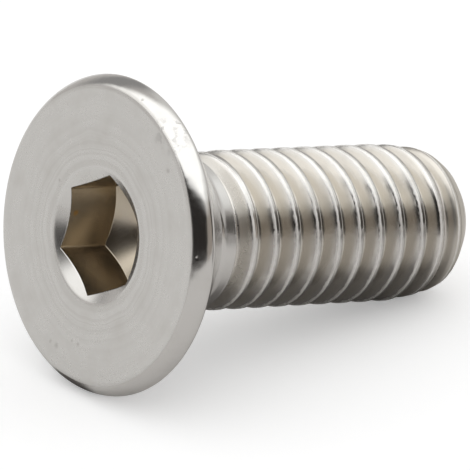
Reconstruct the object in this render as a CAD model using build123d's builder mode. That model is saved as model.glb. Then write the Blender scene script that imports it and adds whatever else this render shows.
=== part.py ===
from build123d import *
import math
import os

# A countersunk socket screw with a metric thread, headed and rolled from one piece of wire.
# It is drawn upright first: the axis on Z, the face of the head at 0 and the tip upwards, so
# that a height in these sketches is a depth below the face. At the end it is laid down.

# Thread
pitch = 1.0
thread_radius = 2.92  # over the crests
groove_depth = 0.53 * pitch
crest_flat = 0.22 * pitch  # width of the flat that rolling leaves on a crest
flank_angle = 30.0  # each flank leans this far from a plane across the axis
full_groove = 0.405  # from the seat's end to where the groove has its full depth
runout_length = 0.8 * pitch  # along the axis, in which the groove rises towards the head
runout_rise = 0.2  # how far above the crests its bottom ends, in the seat's flare

# Neck, a little slimmer than the crests, because it was not rolled
neck_relief = 0.12  # how far it is set back from the crests
neck_length = 0.655  # from the seat's end to where the shank begins to swell
swell_length = 0.9  # in which the shank swells from the neck to full crests
neck_rounding = 0.35

# Whole screw and tip
length = 16.08
sink_length = 2.68 * pitch  # before the tip, in which the crests sink gently towards it
sink_slope = 0.12
crest_to_tip = 0.683 * pitch  # from the last crest on the side that lies down
tip_chamfer = 0.7 * pitch  # at 45 degrees
tip_rounding = 0.25

# Head
head_radius = 5.84
rim_bulge = 0.39  # how far the rim swells out beyond the flat face
face_edge_rounding = 0.1
rim_depth = 0.76  # depth of the corner between the bulging rim and the seat
rim_back_rounding = 0.25
seat_angle = 93.0  # included angle of the conical seat under the head

# Hexagon socket
key_width = 4.0  # across the flats
socket_depth = 2.2  # to the end of the hexagon's corners
socket_turn = 1.2  # from a corner that points straight up, in degrees
point_angle = 120.0  # included angle of the cone that the punch leaves at the bottom
mouth_width = 0.5  # how far the countersunk mouth reaches out beyond the flats
mouth_angle = 120.0  # included angle of the mouth

# Clearances of the cutting shapes
groove_spare = 0.15  # how far the groove's cutter stands out of the thread
runout_spare = 0.45
beyond = 1.5 * pitch  # how far the groove runs past the tip, which is trimmed afterwards
aside = 1.0  # how far the other cutters stand out of the screw

flank_slope = math.tan(math.radians(flank_angle))
seat_slope = math.tan(math.radians(seat_angle / 2))
neck_radius = thread_radius - neck_relief
neck_depth = rim_depth + (head_radius - neck_radius) / seat_slope
neck_end = neck_depth + neck_length
crest_start = neck_end + swell_length
shank_depth = rim_depth + (head_radius - thread_radius) / seat_slope
thread_start = neck_depth + full_groove
sink_start = length - sink_length
root_radius = thread_radius - groove_depth
half_bottom = (pitch - crest_flat) / 2 - groove_depth * flank_slope
bar_length = length + beyond + pitch
face_radius = head_radius - rim_bulge
mouth_radius = key_width / 2 + mouth_width


def groove_section(axial, turn, bottom, spare):
    """The groove's section at a depth below the face, turned about the axis."""
    around = math.radians(turn)
    across = Plane(
        origin=(0, 0, axial),
        x_dir=(math.cos(around), math.sin(around), 0),
        z_dir=(math.sin(around), -math.cos(around), 0),
    )
    top = thread_radius + spare
    half_top = half_bottom + (top - bottom) * flank_slope
    with BuildSketch(across) as section:
        with BuildLine():
            Polyline(
                (bottom, -half_bottom),
                (top, -half_top),
                (top, half_top),
                (bottom, half_bottom),
                close=True,
            )
        make_face()
    return section.sketch.faces()[0]


# The groove rises over runout_length towards the head. Both its parts are swept from above the
# X axis, and the full one is then turned on, to where the run-out ends.
runout_start = thread_start - runout_length
full_turn = 360 * runout_length / pitch
shallow_end = groove_section(runout_start, 0, thread_radius + runout_rise, runout_spare)
full_end = groove_section(thread_start, full_turn, root_radius, runout_spare)

with BuildPart() as runout:
    with BuildLine(Plane((0, 0, runout_start))) as runout_path:
        Helix(pitch, runout_length, root_radius)
    sweep(
        sections=[shallow_end, full_end],
        path=runout_path.line,
        multisection=True,
        is_frenet=True,
    )

with BuildPart() as groove:
    with BuildLine(Plane((0, 0, thread_start))) as groove_path:
        Helix(pitch, length + beyond - thread_start, root_radius)
    sweep(
        sections=groove_section(thread_start, 0, root_radius, groove_spare),
        path=groove_path.line,
        is_frenet=True,
    )

# The blank: the head with its seat, and a plain bar.
with BuildSketch(Plane.XZ) as blank:
    with BuildLine():
        face = Line((0, 0), (face_radius, 0))
        rim = TangentArc((head_radius, rim_depth), face @ 1, tangent=(0, -1))
        seat = Line(rim @ 0, (thread_radius, shank_depth))
        shank = Line(seat @ 1, (thread_radius, bar_length))
        Polyline(shank @ 1, (0, bar_length), face @ 0)
    make_face()
    fillet(blank.vertices().sort_by_distance(face @ 1)[0], face_edge_rounding)
    fillet(blank.vertices().sort_by_distance(seat @ 0)[0], rim_back_rounding)

# What is taken off the bar at the neck. The hollow of the neck rises tangent to the seat.
hollow = neck_rounding * math.tan(math.radians(seat_angle / 4))
hollow_top = (
    neck_radius + hollow * math.sin(math.radians(seat_angle / 2)),
    neck_depth - hollow * math.cos(math.radians(seat_angle / 2)),
)
with BuildPart() as neck_waste:
    with BuildSketch(Plane.XZ):
        with BuildLine():
            rounding = TangentArc((neck_radius, neck_depth + hollow), hollow_top, tangent=(0, -1))
            Polyline(
                rounding @ 0,
                (neck_radius, neck_end),
                (thread_radius, crest_start),
                (2 * thread_radius - neck_radius, 2 * crest_start - neck_end),
                (thread_radius + aside, 2 * crest_start - neck_end),
                (thread_radius + aside, hollow_top[1]),
                rounding @ 1,
            )
        make_face()
    revolve(axis=Axis.Z)

# The punch of the socket: a hexagonal prism whose end is turned to a cone.
point_slope = math.tan(math.radians(point_angle / 2))
hexagon_corner = key_width / math.sqrt(3)
point_depth = socket_depth + hexagon_corner / point_slope
with BuildPart() as punch:
    with BuildSketch(Plane.XY.offset(-aside)):
        RegularPolygon(key_width / 2, 6, major_radius=False, rotation=socket_turn)
    extrude(amount=aside + point_depth)
    with BuildSketch(Plane.XZ):
        with BuildLine():
            Polyline(
                (0, -aside),
                (hexagon_corner + aside, -aside),
                (hexagon_corner + aside, socket_depth - aside / point_slope),
                (0, point_depth),
                close=True,
            )
        make_face()
    revolve(axis=Axis.Z, mode=Mode.INTERSECT)

# Lying on a level surface, the screw touches it with the rounding of its rim and with its last
# two crests: with the edge of one that faces the tip, and the edge of the last that faces the
# head. A crest that has sunk has a wider flat, so its edges follow the groove's flanks.
rim_rounding = blank.sketch_local.edges().filter_by(GeomType.CIRCLE)
rim_rounding = rim_rounding.sort_by_distance((head_radius, rim_depth))[0]
last_groove = length - crest_to_tip - pitch / 2
foot_depth = last_groove - half_bottom - (groove_depth + sink_slope * sink_start) * flank_slope
foot_depth = foot_depth / (1 - sink_slope * flank_slope)
foot_radius = thread_radius - sink_slope * (foot_depth - sink_start)
base = foot_depth - rim_rounding.arc_center.Y
rise = rim_rounding.arc_center.X - foot_radius
lean = math.atan2(rise, base) + math.asin(rim_back_rounding / math.hypot(rise, base))
fall = math.tan(lean)
last_depth = last_groove + half_bottom + (foot_radius - root_radius + fall * foot_depth) * flank_slope
last_depth = last_depth / (1 + fall * flank_slope)
last_radius = foot_radius - fall * (last_depth - foot_depth)
thread_turn = 180 - 360 * ((last_groove - runout_start) % pitch) / pitch

# What is taken off at the tip, after the groove has been cut: a chamfer, and outside of it two
# cones in which the crests sink. The second is steeper, from midway between the two places.
corner_depth = (foot_depth + last_depth) / 2
corner_radius = thread_radius - sink_slope * (corner_depth - sink_start)
steep_slope = (corner_radius - last_radius) / (last_depth - corner_depth)
tip_radius = corner_radius - steep_slope * (length - tip_chamfer - corner_depth) - tip_chamfer
sink_end = length + tip_rounding
with BuildPart() as tip_waste:
    with BuildSketch(Plane.XZ) as tip_outline:
        with BuildLine():
            Polyline(
                (0, length),
                (tip_radius, length),
                (tip_radius + tip_chamfer + aside, length - tip_chamfer - aside),
                (tip_radius + tip_chamfer + aside, bar_length + aside),
                (0, bar_length + aside),
                close=True,
            )
        make_face()
        fillet(tip_outline.vertices().sort_by_distance((tip_radius, length))[0], tip_rounding)
    revolve(axis=Axis.Z)

with BuildPart() as sink_waste:
    with BuildSketch(Plane.XZ):
        with BuildLine():
            Polyline(
                (corner_radius - steep_slope * (sink_end - corner_depth), sink_end),
                (corner_radius, corner_depth),
                (thread_radius + sink_slope * pitch, sink_start - pitch),
                (thread_radius + aside, sink_start - pitch),
                (thread_radius + aside, sink_end),
                close=True,
            )
        make_face()
    revolve(axis=Axis.Z)

with BuildPart() as upright:
    add(blank.sketch)
    revolve(axis=Axis.Z)
    add(groove.part, rotation=(0, 0, thread_turn + full_turn), mode=Mode.SUBTRACT)
    add(runout.part, rotation=(0, 0, thread_turn), mode=Mode.SUBTRACT)
    add(neck_waste.part, mode=Mode.SUBTRACT)
    add(tip_waste.part, mode=Mode.SUBTRACT)
    add(sink_waste.part, mode=Mode.SUBTRACT)
    add(punch.part, mode=Mode.SUBTRACT)
    Cone(
        bottom_radius=mouth_radius,
        top_radius=0,
        height=mouth_radius / math.tan(math.radians(mouth_angle / 2)),
        align=(Align.CENTER, Align.CENTER, Align.MIN),
        mode=Mode.SUBTRACT,
    )

axis_direction = (math.cos(lean), 0, -math.sin(lean))
upper_side = (math.sin(lean), 0, math.cos(lean))
with BuildPart() as laid:
    with Locations(Plane(origin=(0, 0, 0), x_dir=upper_side, z_dir=axis_direction).location):
        add(upright.part)

# The origin is under the middle of the lying screw's box.
box = laid.part.bounding_box()
with BuildPart() as screw:
    with Locations((-box.center().X, -box.center().Y, -box.min.Z)):
        add(laid.part)

screw.part.label = "screw"
os.makedirs("parts", exist_ok=True)
export_step(screw.part, "parts/screw.step")
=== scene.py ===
import math

import bpy
import numpy as np
from mathutils import Matrix, Vector


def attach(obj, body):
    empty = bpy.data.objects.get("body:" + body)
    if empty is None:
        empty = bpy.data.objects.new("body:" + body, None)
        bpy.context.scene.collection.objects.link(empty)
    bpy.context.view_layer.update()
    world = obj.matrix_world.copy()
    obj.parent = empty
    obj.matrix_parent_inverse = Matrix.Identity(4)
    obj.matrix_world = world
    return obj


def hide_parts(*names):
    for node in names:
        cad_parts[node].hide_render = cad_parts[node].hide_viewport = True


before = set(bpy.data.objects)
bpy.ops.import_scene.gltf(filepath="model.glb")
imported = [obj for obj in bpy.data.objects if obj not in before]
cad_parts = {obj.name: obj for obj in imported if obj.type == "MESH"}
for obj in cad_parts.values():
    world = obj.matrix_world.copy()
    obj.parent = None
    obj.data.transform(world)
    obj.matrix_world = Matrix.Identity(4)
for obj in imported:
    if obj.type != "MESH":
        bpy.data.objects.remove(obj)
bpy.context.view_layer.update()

# ---------------------------------------------------------------------------------------
# The screw: one piece of bright stainless wire, upset to a countersunk head, punched with a
# hexagon socket and rolled with a metric thread. Its skin is one closed surface, carried
# round the axis from the bottom of the socket over the head and down to the tip.

# Lengths are in millimetres. A depth is measured from the head's face along the axis.
around = 252  # columns; six times a whole number, so that a column meets each socket corner
socket_turn = math.radians(1.2)
even = np.arange(around) / around * 2 * math.pi
turn = even - 0.5 * np.sin(6 * even) / 6 + socket_turn  # columns crowd at the six corners


def grid(radius, depth):
    """Points as radius, turn and depth, with one row for each row of radii and depths."""
    return np.stack(np.broadcast_arrays(radius, turn, depth), -1)


def softer(a, b, size):
    """The smaller of two arrays, with their crossing rounded over about the given size.

    Where they differ by less than size, it is their weighted mean, less size times the one
    weight times the other. The weight of a falls evenly from 1 to 0 as a rises past b.
    """
    mix = np.clip(0.5 + 0.5 * (b - a) / size, 0, 1)
    return b + (a - b) * mix - size * mix * (1 - mix)


# The socket, punched: flats 4 mm apart, with a cone at its bottom and a wide mouth.
half_key, corner_blunting, corner_rounding = 2.0, 0.015, 0.02
mouth_radius, mouth_rounding, corner_depth = 2.5, 0.05, 2.2
slope = math.tan(math.radians(60))  # radius over depth of both cones, which open 120 degrees


def mouth_depth(radius):
    """The mouth's depth: how far inside its edge the radius lies, over the cone's slope.

    Outside the edge it is 0, the flat face, and the edge between the two is rounded.
    """
    return -softer(-(mouth_radius - radius) / slope, 0 * radius, mouth_rounding)


corner = half_key / math.cos(math.radians(30))
point_depth = corner_depth + corner / slope
side = (turn - socket_turn) % (math.pi / 3) - math.pi / 6
blunt_corner = corner - corner_blunting + 0 * side
wall = softer(half_key / np.cos(side), blunt_corner, corner_rounding)
foot = point_depth - wall / slope
top = mouth_depth(wall)

# Rows crowd where the skin bends. Each is a share of the way over its own part.
out = np.array([0.05, 0.12, 0.22, 0.34, 0.47, 0.6, 0.73, 0.85, 0.94, 0.985, 1.0])[:, None]
cone = grid(out * wall, point_depth - out * wall / slope)
climb = np.array([0.012, 0.12, 0.3, 0.5, 0.7, 0.88, 0.985, 1.0])[:, None]
walls = grid(wall, foot + climb * (top - foot))
spread = np.array([0.06, 0.3, 0.55, 0.75, 0.88, 0.95])[:, None]
mouth_rows = wall + spread * (mouth_radius - wall)
mouth = grid(mouth_rows, mouth_depth(mouth_rows))


def arc(centre, size, start, end, steps):
    """Radii and depths of an arc: centre plus size times the cosine and sine of the angle."""
    angle = np.radians(np.linspace(start, end, steps))
    return centre[0] + size * np.cos(angle), centre[1] + size * np.sin(angle)


def turned_rows(radii, depths):
    """A turned surface: lists of radii and depths, joined end to end and carried round."""
    return grid(np.concatenate(radii)[:, None], np.concatenate(depths)[:, None])


# The head, upset: a flat face, a bulging rim that is rounded at both edges, and the seat.
head_radius, widest_depth = 5.84, 0.76
edge_size, bulge_size, back_size = 0.4, 0.9355, 0.25  # the radii of the rim's three arcs
edge_end, back_start, seat_angle = -42.2, -8.4, 46.5  # degrees, where each passes to the next
seat_slope = math.tan(math.radians(seat_angle))
edge = arc((5.301, edge_size), edge_size, -90, edge_end, 11)
bulge = arc((head_radius - bulge_size, widest_depth), bulge_size, edge_end, back_start, 12)
rim_back = arc((5.5826, 0.6596), back_size, back_start, seat_angle, 12)
seat_depth = np.linspace(0.9, 2.9, 12)
seat_radius = head_radius - (seat_depth - widest_depth) * seat_slope
face_radius = np.array([2.5, 2.52, 2.55, 2.6, 2.8, 3.1, 3.5, 3.9, 4.3, 4.7, 5.0, 5.15, 5.25])
head = turned_rows(
    [face_radius, edge[0], bulge[0][1:-1], rim_back[0], seat_radius],
    [mouth_depth(face_radius), edge[1], bulge[1][1:-1], rim_back[1], seat_depth],
)

# The thread, rolled: 1 mm pitch, right-hand, with flanks that lean 30 degrees. It fades out
# in a slim neck under the head, and its last crests sink towards the tip.
pitch, crest, root, neck = 1.0, 2.92, 2.39, 2.8
half_bottom, root_rounding, crest_rounding = 0.084, 0.06, 0.035
groove_at_zero = 0.397  # depth of a groove's middle where the turn is 0
fade_depth, fade_length, fade_radius, fade_slope = 3.25, 0.8, 3.12, 2.5
spiral_start, spiral_end = 3.0, 15.72
length, end_corner = 16.08, 1.8791
hollow_size, hollow_start, hollow_end = 0.35, 3.5413, 3.7952

# The shank's outline without its groove, as corners of depth and radius: the seat, the neck,
# the full crests, two cones in which they sink, and the chamfer of the cut end.
outline = [(widest_depth, head_radius), (3.6448, neck), (4.3, neck), (5.2, crest)]
outline += [(13.4, crest), (14.8624, 2.7445), (15.38, 2.5791), (length, end_corner)]
outline_depths, outline_radii = zip(*outline)


def plain_radius(depth):
    """The shank without its groove: straight lines, and an arc where the seat meets the neck.

    The arc's radius is its centre's, less the root of hollow_size squared less the distance
    along the axis squared.
    """
    line = np.interp(depth, outline_depths, outline_radii)
    past = depth - hollow_end
    hollow = neck + hollow_size - np.sqrt(np.maximum(hollow_size**2 - past**2, 0))
    return np.where((depth > hollow_start) & (depth < hollow_end), hollow, line)


def threaded_radius(depth, angle):
    """The shank's radius: the plain one, or the nearest turn of the V groove if it is lower.

    The groove's middle follows depth = groove_at_zero + pitch * angle / 360 degrees. Its
    bottom is flat over half_bottom to each side and rises at 60 degrees from there. Along
    its own turn the bottom comes down evenly from fade_radius at fade_depth to root, over
    fade_length. Where the middle isn't at fade_depth yet, the bottom is higher still, by
    fade_slope times what is missing, so that the groove doesn't mark the seat.
    """
    radius = plain_radius(depth)
    phase = (depth - groove_at_zero) / pitch - angle / (2 * math.pi)
    offset = (phase + 0.5) % 1 - 0.5
    for neighbour in (-1, 0, 1):
        away = np.abs(offset - neighbour) * pitch
        middle = depth - (offset - neighbour) * pitch
        grown = np.clip((middle - fade_depth) / fade_length, 0, 1)
        bottom = fade_radius - (fade_radius - root) * grown
        bottom = bottom + fade_slope * np.maximum(fade_depth - middle, 0)
        rise = -softer(-(away - half_bottom) * math.sqrt(3), 0 * away, root_rounding)
        radius = softer(radius, bottom + rise, crest_rounding)
    return radius


# The thread's rows follow its spiral, crowded at the crest and the root. A column for the full
# turn is added, where each row goes on as the next turn's.
across = np.array([0.0, 0.05, 0.09, 0.13, 0.21, 0.29, 0.345, 0.375, 0.4, 0.43, 0.47])
across = np.concatenate([-across[:0:-1], across])
turns = np.arange(math.floor(spiral_start) - 2, math.ceil(spiral_end) + 1)
spiral = (turns[:, None] * pitch + across + groove_at_zero).ravel()
full_turn = np.append(turn, turn[0] + 2 * math.pi)
spiral_turn = np.broadcast_to(full_turn, (len(spiral), around + 1))
spiral_depth = spiral[:, None] + pitch * spiral_turn / (2 * math.pi)
spiral_depth = np.clip(spiral_depth, spiral_start, spiral_end)
thread = np.stack([threaded_radius(spiral_depth, spiral_turn), spiral_turn, spiral_depth], -1)

# The tip: a chamfer of 45 degrees, rounded into the cut end of the wire.
tip_rounding, chamfer_radius = 0.25, 2.1
chamfer_depth = length - (chamfer_radius - end_corner)
tip_edge = arc((1.7756, length - tip_rounding), tip_rounding, 45, 90, 6)
end_radius = np.array([1.7, 1.4, 1.0, 0.6, 0.2])
tip = turned_rows(
    [[chamfer_radius], tip_edge[0], end_radius],
    [[chamfer_depth], tip_edge[1], length + 0 * end_radius],
)


def seam(depth):
    """The ring of points at a depth, where the thread's grid meets the head's or the tip's."""
    return grid(threaded_radius(depth + 0 * turn, turn)[None], depth)


def quads(first, rows, columns, closed):
    """Corner numbers of a grid's cells; its points are numbered row by row from `first`."""
    row, column = np.mgrid[0 : rows - 1, 0 : columns - (not closed)]
    beside = (column + 1) % columns
    cells = [row * columns + column, row * columns + beside]
    cells += [(row + 1) * columns + beside, (row + 1) * columns + column]
    return first + np.stack(cells, -1).reshape(-1, 4)


upper = np.concatenate([cone, walls, mouth, head, seam(spiral_start)])
lower = np.concatenate([seam(spiral_end), tip])
points, cells, count = [], [], 0
for part, closed in ((upper, True), (thread, False), (lower, True)):
    points.append(part.reshape(-1, 3))
    cells.append(quads(count, part.shape[0], part.shape[1], closed))
    count += part.shape[0] * part.shape[1]
points = np.concatenate(points + [[[0, 0, point_depth]], [[0, 0, length]]])
cells = np.concatenate(cells)

# A fan closes the socket's cone around its point, and another the cut end.
ring = np.arange(around)
beside = (ring + 1) % around
last = count - around
inner_fan = np.stack([np.full(around, count), beside, ring], -1)
outer_fan = np.stack([np.full(around, count + 1), last + ring, last + beside], -1)
triangles = np.concatenate([cells[:, [0, 1, 2]], cells[:, [0, 2, 3]], inner_fan, outer_fan])

# Points that fall together are merged, and the triangles that this leaves flat are dropped.
radii, angles, depths = points.T
upright = np.stack([radii * np.cos(angles), radii * np.sin(angles), depths], -1)
upright, numbers = np.unique(np.round(upright, 6), axis=0, return_inverse=True)
triangles = numbers.reshape(-1)[triangles]
a, b, c = triangles.T
triangles = triangles[(a != b) & (b != c) & (c != a)]

# The screw lies on the rounding of its rim and on the last two crests of its thread, with
# its tip towards +X. The lean is the angle by which its axis drops to the tip.
lean = 0.21632758
face_centre = np.array([-7.4635669, 0.0, 5.8441226])
axes = np.array(
    [
        [math.sin(lean), 0, math.cos(lean)],
        [0, -1, 0],
        [math.cos(lean), 0, -math.sin(lean)],
    ]
)
laid = (upright @ axes + face_centre) / 1000
mesh = bpy.data.meshes.new("screw_skin")
mesh.from_pydata(laid.tolist(), [], triangles.tolist())
mesh.update()
mesh.polygons.foreach_set("use_smooth", np.ones(len(mesh.polygons), bool))
screw = bpy.data.objects.new("screw_skin", mesh)
bpy.context.scene.collection.objects.link(screw)

# The steel: each zone of the screw has its tint and dullness, with marks and painted light
# laid over it.
steel = bpy.data.materials.new("bright_steel")
steel.use_nodes = True
tree = steel.node_tree  # what wire adds its nodes to; each material sets its own


def wire(kind, inputs, **settings):
    """A new node in the tree; an input is given a plain value or another node's output."""
    node = tree.nodes.new("ShaderNode" + kind)
    for name, value in settings.items():
        setattr(node, name, value)
    for name, value in inputs.items():
        if isinstance(value, bpy.types.NodeSocket):
            tree.links.new(value, node.inputs[name])
        else:
            node.inputs[name].default_value = value
    return node


def ramp(value, start, end, low=0.0, high=1.0):
    """A value carried smoothly from `low` at `start` to `high` at `end`, and held beyond."""
    edges = {"Value": value, "From Min": start, "From Max": end, "To Min": low, "To Max": high}
    return wire("MapRange", edges, interpolation_type="SMOOTHSTEP").outputs["Result"]


def maths(operation, a, b=0.0, c=0.0):
    """A Math node's result."""
    return wire("Math", {0: a, 1: b, 2: c}, operation=operation).outputs["Value"]


def times(first, *others):
    """The product of masks and numbers."""
    for other in others:
        first = maths("MULTIPLY", first, other)
    return first


def near(vector, middle, width, core=0.0, most=1.0):
    """A round spot: `most` up to `core` from its middle, fading to 0 at `width`."""
    away = wire("VectorMath", {0: vector, 1: middle}, operation="DISTANCE").outputs["Value"]
    return ramp(away, width, core, 0.0, most)


def mottle(vector, scale, detail, roughness=0.55):
    """Cloudy noise between 0 and 1, at `scale` cells to the millimetre."""
    inputs = {"Vector": vector, "Scale": scale, "Detail": detail, "Roughness": roughness}
    return wire("TexNoise", inputs).outputs["Fac"]


def tinted(under, mask, colour):
    """A colour laid over another as far as the mask says."""
    sockets = {"Factor": mask, "A": under, "B": colour}
    return wire("Mix", sockets, data_type="RGBA").outputs["Result"]


# Where a point is on the screw: millimetres from its axis, and below its face.
turned = Matrix(axes.tolist())
to_screw = {
    "Vector": wire("TexCoord", {}).outputs["Object"],
    "Location": -(turned @ Vector(face_centre.tolist())),
    "Rotation": turned.to_euler(),
    "Scale": (1000, 1000, 1000),
}
on_screw = wire("Mapping", to_screw, vector_type="POINT").outputs["Vector"]
flat = wire("VectorMath", {0: on_screw, 1: (1, 1, 0)}, operation="MULTIPLY").outputs["Vector"]
radius = wire("VectorMath", {0: flat}, operation="LENGTH").outputs["Value"]
apart = wire("SeparateXYZ", {"Vector": on_screw}).outputs
below = apart["Z"]

# The zones of the screw, each faded between two depths below the face or two radii. How far
# a point lies behind the mouth's cone tells the socket's walls from the mouth.
past_mouth = maths("MULTIPLY_ADD", maths("SUBTRACT", radius, mouth_radius), 1 / slope, below)
on_face = times(ramp(below, 0.07, 0.01), ramp(radius, 2.48, 2.54))
on_mouth = times(ramp(past_mouth, 0.06, 0.02), ramp(radius, 2.56, 2.48))
in_socket = times(ramp(below, 3.7, 3.6), ramp(radius, 2.45, 2.35), ramp(past_mouth, 0.02, 0.06))
on_rim = times(ramp(below, 1.0, 0.8), ramp(radius, 5.35, 5.45))
on_neck = times(ramp(below, 3.2, 3.6), ramp(below, 5.2, 4.7))
on_shank = ramp(below, 3.4, 3.8)
in_groove = times(ramp(radius, 2.9, 2.7), ramp(below, 4.2, 5.0))
on_crests = times(ramp(below, 4.3, 5.0), ramp(radius, 2.45, 2.6))
on_tip = ramp(below, 14.4, 15.0)

# Two lines follow the thread, at shares of its pitch past the groove's middle: a painted
# highlight at the crest's edge, and a painted shadow line just past it. Noise makes them
# ragged.
highlight_at, shadow_line_at = 0.415, 0.575
line_swing = 0.08
angle = maths("ARCTAN2", apart["Y"], apart["X"])
lead = maths("MULTIPLY_ADD", angle, -0.5 / math.pi, maths("SUBTRACT", below, groove_at_zero))
swung = maths("SUBTRACT", lead, line_swing / 2)
lead = maths("FRACT", maths("MULTIPLY_ADD", mottle(on_screw, 5.0, 3, 0.6), line_swing, swung))
off_highlight = maths("ABSOLUTE", maths("SUBTRACT", lead, highlight_at))
off_shadow_line = maths("ABSOLUTE", maths("SUBTRACT", lead, shadow_line_at))
# On the crests: a painted highlight along the crest's edge, and a painted shadow line beside
# it.
crest_highlight = times(ramp(off_highlight, 0.065, 0.03), on_crests)
crest_shadow_line = times(ramp(off_shadow_line, 0.045, 0.015), on_crests)

# The face is dulled by fine, broken rings from the die; the shank has marks from the rolls.
ringed = maths("MULTIPLY_ADD", mottle(on_screw, 0.45, 2), 0.5, radius)
ring_noise = {"W": ringed, "Scale": 2.6, "Detail": 4, "Roughness": 0.65}
ring_marks = wire("TexNoise", ring_noise, noise_dimensions="1D").outputs["Fac"]
broken = ramp(mottle(on_screw, 0.5, 2), 0.3, 0.8)
roll_frame = wire("Mapping", {"Vector": on_screw, "Scale": (0.7, 0.7, 9)}).outputs["Vector"]
roll_marks = mottle(roll_frame, 1.0, 4, 0.6)
grain = mottle(on_screw, 8.0, 3, 0.6)
cloud = mottle(on_screw, 0.8, 4)
wobble = mottle(on_screw, 0.9, 2)

# Small dents and nicks: places on the face and the rim, with their widths. Their outlines are
# ragged, because the distance is measured from a place that noise has moved by up to `swing`,
# and by half of it on average, so the spots are moved by that half too.
nicks = [
    ((-4.56, -1.16, 0.0), 0.17),
    ((-4.10, 0.05, 0.0), 0.13),
    ((-4.51, -1.49, 0.0), 0.11),
    ((-4.09, -0.32, 0.0), 0.10),
    ((1.31, -2.53, 0.0), 0.10),
    ((3.55, 3.31, 0.0), 0.16),
    ((5.48, 1.09, 0.12), 0.12),
    ((0.98, 5.53, 0.15), 0.10),
]
swing = 0.16
shaking = wire("TexNoise", {"Vector": on_screw, "Scale": 4.0}).outputs["Color"]
shaken = {0: shaking, 1: (swing, swing, swing), 2: on_screw}
ragged = wire("VectorMath", shaken, operation="MULTIPLY_ADD").outputs["Vector"]
dents = 0.0
for spot, width in nicks:
    spot = tuple(value + swing / 2 for value in spot)
    dents = maths("MAXIMUM", near(ragged, spot, width), dents)

# A scuff on the rim, where it has rubbed on other screws, and a stain on a socket wall.
rubbed = near(on_screw, (4.85, 2.95, 0.2), 1.1, 0.4)
scuff = times(rubbed, ramp(mottle(on_screw, 2.6, 4, 0.6), 0.5, 0.6))
stain = near(ragged, (0.28, -1.92, 0.63), 0.15, 0.05, 0.8)

# The relief, in millimetres.
height = 0.0
for mask, rise in (
    (times(ring_marks, broken, on_face), 0.006),
    (grain, 0.0002),
    (times(roll_marks, on_shank), 0.003),
    (times(wobble, on_rim), 0.016),
    (times(wobble, on_shank), 0.02),
    (dents, -0.009),
    (scuff, -0.006),
):
    height = maths("MULTIPLY_ADD", mask, rise, height)
relief = wire("Bump", {"Strength": 1.0, "Distance": 0.001, "Height": height}).outputs["Normal"]

# The colour: plain steel, then each tint laid over it in turn.
ring_tone = times(ramp(ring_marks, 0.42, 0.6), on_face, ramp(radius, 4.8, 3.0, 0.1, 0.5))
colour = (0.685, 0.675, 0.66, 1)
for mask, tint in (
    # The grooves' warmer, darker tint is partly painted reflection of warm surroundings, partly
    # the steel's own tone.
    (in_groove, (0.64, 0.61, 0.56, 1)),
    (in_socket, (0.56, 0.495, 0.40, 1)),
    (ring_tone, (0.58, 0.565, 0.545, 1)),
    # A painted highlight: the crest's edge made near white.
    (crest_highlight, (0.93, 0.92, 0.90, 1)),
    # A painted shadow: a dark line beside the crest.
    (times(crest_shadow_line, 0.6), (0.28, 0.26, 0.23, 1)),
    (ramp(cloud, 0.45, 0.8, 0.0, 0.35), (0.55, 0.53, 0.50, 1)),
    (times(dents, 0.5), (0.40, 0.38, 0.36, 1)),
    (times(scuff, 0.6), (0.52, 0.51, 0.50, 1)),
    (stain, (0.78, 0.46, 0.12, 1)),
):
    colour = tinted(colour, mask, tint)

# The roughness: that of the bright rim, and what each zone and mark adds to it.
dull = 0.12
for mask, more in (
    (on_face, 0.16),
    (in_socket, 0.12),
    (on_mouth, 0.14),
    (on_rim, 0.03),
    (on_neck, 0.06),
    (on_shank, 0.04),
    (in_groove, 0.08),
    # The line of painted highlight is duller as well.
    (crest_highlight, 0.4),
    (scuff, 0.2),
    (on_tip, 0.18),
    (maths("SUBTRACT", grain, 0.5), 0.05),
    (maths("SUBTRACT", cloud, 0.5), 0.1),
):
    dull = maths("MULTIPLY_ADD", mask, more, dull)

shader = tree.nodes["Principled BSDF"]
shader.inputs["Metallic"].default_value = 1.0
tree.links.new(colour, shader.inputs["Base Color"])
tree.links.new(dull, shader.inputs["Roughness"])
tree.links.new(relief, shader.inputs["Normal"])
mesh.materials.append(steel)
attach(screw, "root")
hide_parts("screw")

# ---------------------------------------------------------------------------------------
# The table: white paper. What the steel mirrors of it is painted a little darker in front,
# and dark in three soft patches of painted shade: under the shank, under the rim, and a long
# one farther off.
floor_mesh = bpy.data.meshes.new("table_top")
floor_mesh.from_pydata([(-3, -3, 0), (3, -3, 0), (3, 3, 0), (-3, 3, 0)], [], [(0, 1, 2, 3)])
table = bpy.data.objects.new("table_top", floor_mesh)
bpy.context.scene.collection.objects.link(table)
paper = bpy.data.materials.new("white_paper")
paper.use_nodes = True
tree = paper.node_tree
ray = wire("LightPath", {}).outputs
place = wire("TexCoord", {}).outputs["Object"]


def pool(middle, size, heading, depth):
    """A soft ellipse of shade on the table: its depth inside, 0 outside.

    It fades from 0.7 to 1.2 times its half axes, and the first of them points along the
    heading, in degrees.
    """
    ellipse = {
        "Vector": place,
        "Location": (*middle, 0),
        "Rotation": (0, 0, math.radians(heading)),
        "Scale": (*size, 1),
    }
    under = wire("Mapping", ellipse, vector_type="TEXTURE").outputs["Vector"]
    away = wire("VectorMath", {0: under}, operation="LENGTH").outputs["Value"]
    return ramp(away, 1.2, 0.7, 0.0, depth)


# Painted shade, seen only in what the steel mirrors of the table.
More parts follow.
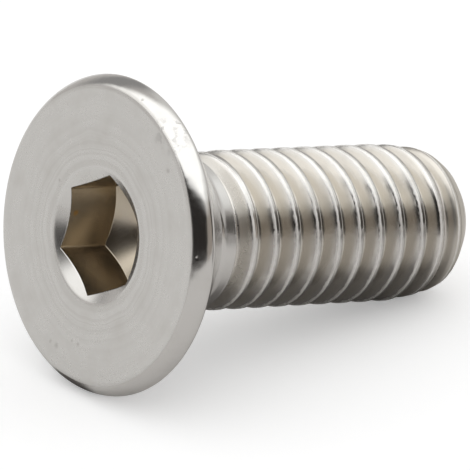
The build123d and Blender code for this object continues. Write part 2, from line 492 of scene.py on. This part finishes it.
shade = pool((0.0020, 0.0005), (0.0090, 0.0048), 0, 0.82)
shade = maths("MAXIMUM", shade, pool((-0.0074, 0.0006), (0.0020, 0.0015), 0, 1.0))
shade = maths("MAXIMUM", shade, pool((0.0569, -0.0632), (0.065, 0.014), -48, 0.8))
behind = ramp(wire("SeparateXYZ", {"Vector": place}).outputs["Y"], -0.003, 0.003)
front_paper, back_paper = (0.75, 0.73, 0.71, 1), (0.86, 0.85, 0.83, 1)
shaded_paper, plain_paper = (0.17, 0.16, 0.15, 1), (0.85, 0.85, 0.85, 1)
mirrored = tinted(tinted(front_paper, behind, back_paper), shade, shaded_paper)
seen = tinted(plain_paper, ray["Is Glossy Ray"], mirrored)
shader = tree.nodes["Principled BSDF"]
shader.inputs["Roughness"].default_value = 0.9
shader.inputs["Specular IOR Level"].default_value = 0.0
shader.inputs["Emission Color"].default_value = (1, 1, 1, 1)
tree.links.new(seen, shader.inputs["Base Color"])
tree.links.new(times(ray["Is Camera Ray"], 0.3), shader.inputs["Emission Strength"])
floor_mesh.materials.append(paper)

# ---------------------------------------------------------------------------------------
# The light: an even white dome. What the steel mirrors in its place is a dim room, with
# soft bright and dark boards hung round the screw.
world = bpy.data.worlds.new("light_dome")
bpy.context.scene.world = world
world.use_nodes = True
tree = world.node_tree
place = wire("TexCoord", {}).outputs["Generated"]


def panel(azimuth, elevation, width, height, soft):
    """A mask of the dome: 1 on a flat panel that faces the screw, 0 outside of it.

    The panel's middle is in the given direction, and its half width and half height are
    angles. Its edges fade over `soft`, a share of the distance to it.
    """
    azimuth, elevation = math.radians(azimuth), math.radians(elevation)
    level = math.cos(elevation)
    facing = Vector((math.cos(azimuth) * level, math.sin(azimuth) * level, math.sin(elevation)))
    aside = Vector((-math.sin(azimuth), math.cos(azimuth), 0))
    along = [
        wire("VectorMath", {0: place, 1: direction}, operation="DOT_PRODUCT").outputs["Value"]
        for direction in (facing, aside, facing.cross(aside))
    ]
    mask = maths("GREATER_THAN", along[0])
    for beside, size in ((along[1], width), (along[2], height)):
        off = maths("ABSOLUTE", maths("DIVIDE", beside, along[0]))
        half = math.tan(math.radians(size))
        mask = times(mask, ramp(off, half + soft / 2, half - soft / 2))
    return mask


# Each board as azimuth, elevation, half width and half height in degrees, and softness.
dome = (0.58, 0.56, 0.54, 1)
for board, light in (
    ((82, 31, 34, 15, 0.3), (0.32, 0.315, 0.31, 1)),
    ((150, 52, 36, 26, 0.35), (1.25, 1.24, 1.21, 1)),
    ((2, 36, 34, 22, 0.4), (0.75, 0.74, 0.72, 1)),
    ((-32, 56, 36, 27, 0.35), (1.05, 1.05, 1.03, 1)),
    ((-62, 13, 26, 17, 0.3), (0.36, 0.32, 0.28, 1)),
    ((-46, 10, 10, 14, 0.12), (0.05, 0.045, 0.04, 1)),
    ((-134, 26, 48, 26, 0.35), (0.02, 0.017, 0.015, 1)),
    ((-127, 84, 45, 35, 0.35), (1.55, 1.55, 1.53, 1)),
):
    dome = tinted(dome, panel(*board), light)
glossy = wire("LightPath", {}).outputs["Is Glossy Ray"]
sky = tinted((0.9, 0.9, 0.9, 1), glossy, dome)
tree.links.new(sky, tree.nodes["Background"].inputs["Color"])

# ---------------------------------------------------------------------------------------
# The camera: a long lens that looks at the head and along the shank from above the table.
# It stands level, turned by the azimuth from +Y and tipped down by the elevation.
camera_data = bpy.data.cameras.new("camera")
camera = bpy.data.objects.new("camera", camera_data)
bpy.context.scene.collection.objects.link(camera)
bpy.context.scene.camera = camera
camera_data.lens = 612.77
camera_data.sensor_width = 36
camera_data.clip_start = 0.01
stand = (-0.1661487, -0.2124833, 0.1190902)
azimuth, elevation = math.radians(-37.836), math.radians(23.1216)
level = math.cos(elevation)
right = Vector((math.cos(azimuth), math.sin(azimuth), 0))
ahead = Vector((-math.sin(azimuth) * level, math.cos(azimuth) * level, -math.sin(elevation)))
camera_axes = Matrix((right, right.cross(ahead), -ahead)).transposed()
camera.matrix_world = Matrix.Translation(stand) @ camera_axes.to_4x4()

bpy.context.scene.view_settings.view_transform = "Standard"
bpy.context.view_layer.update()
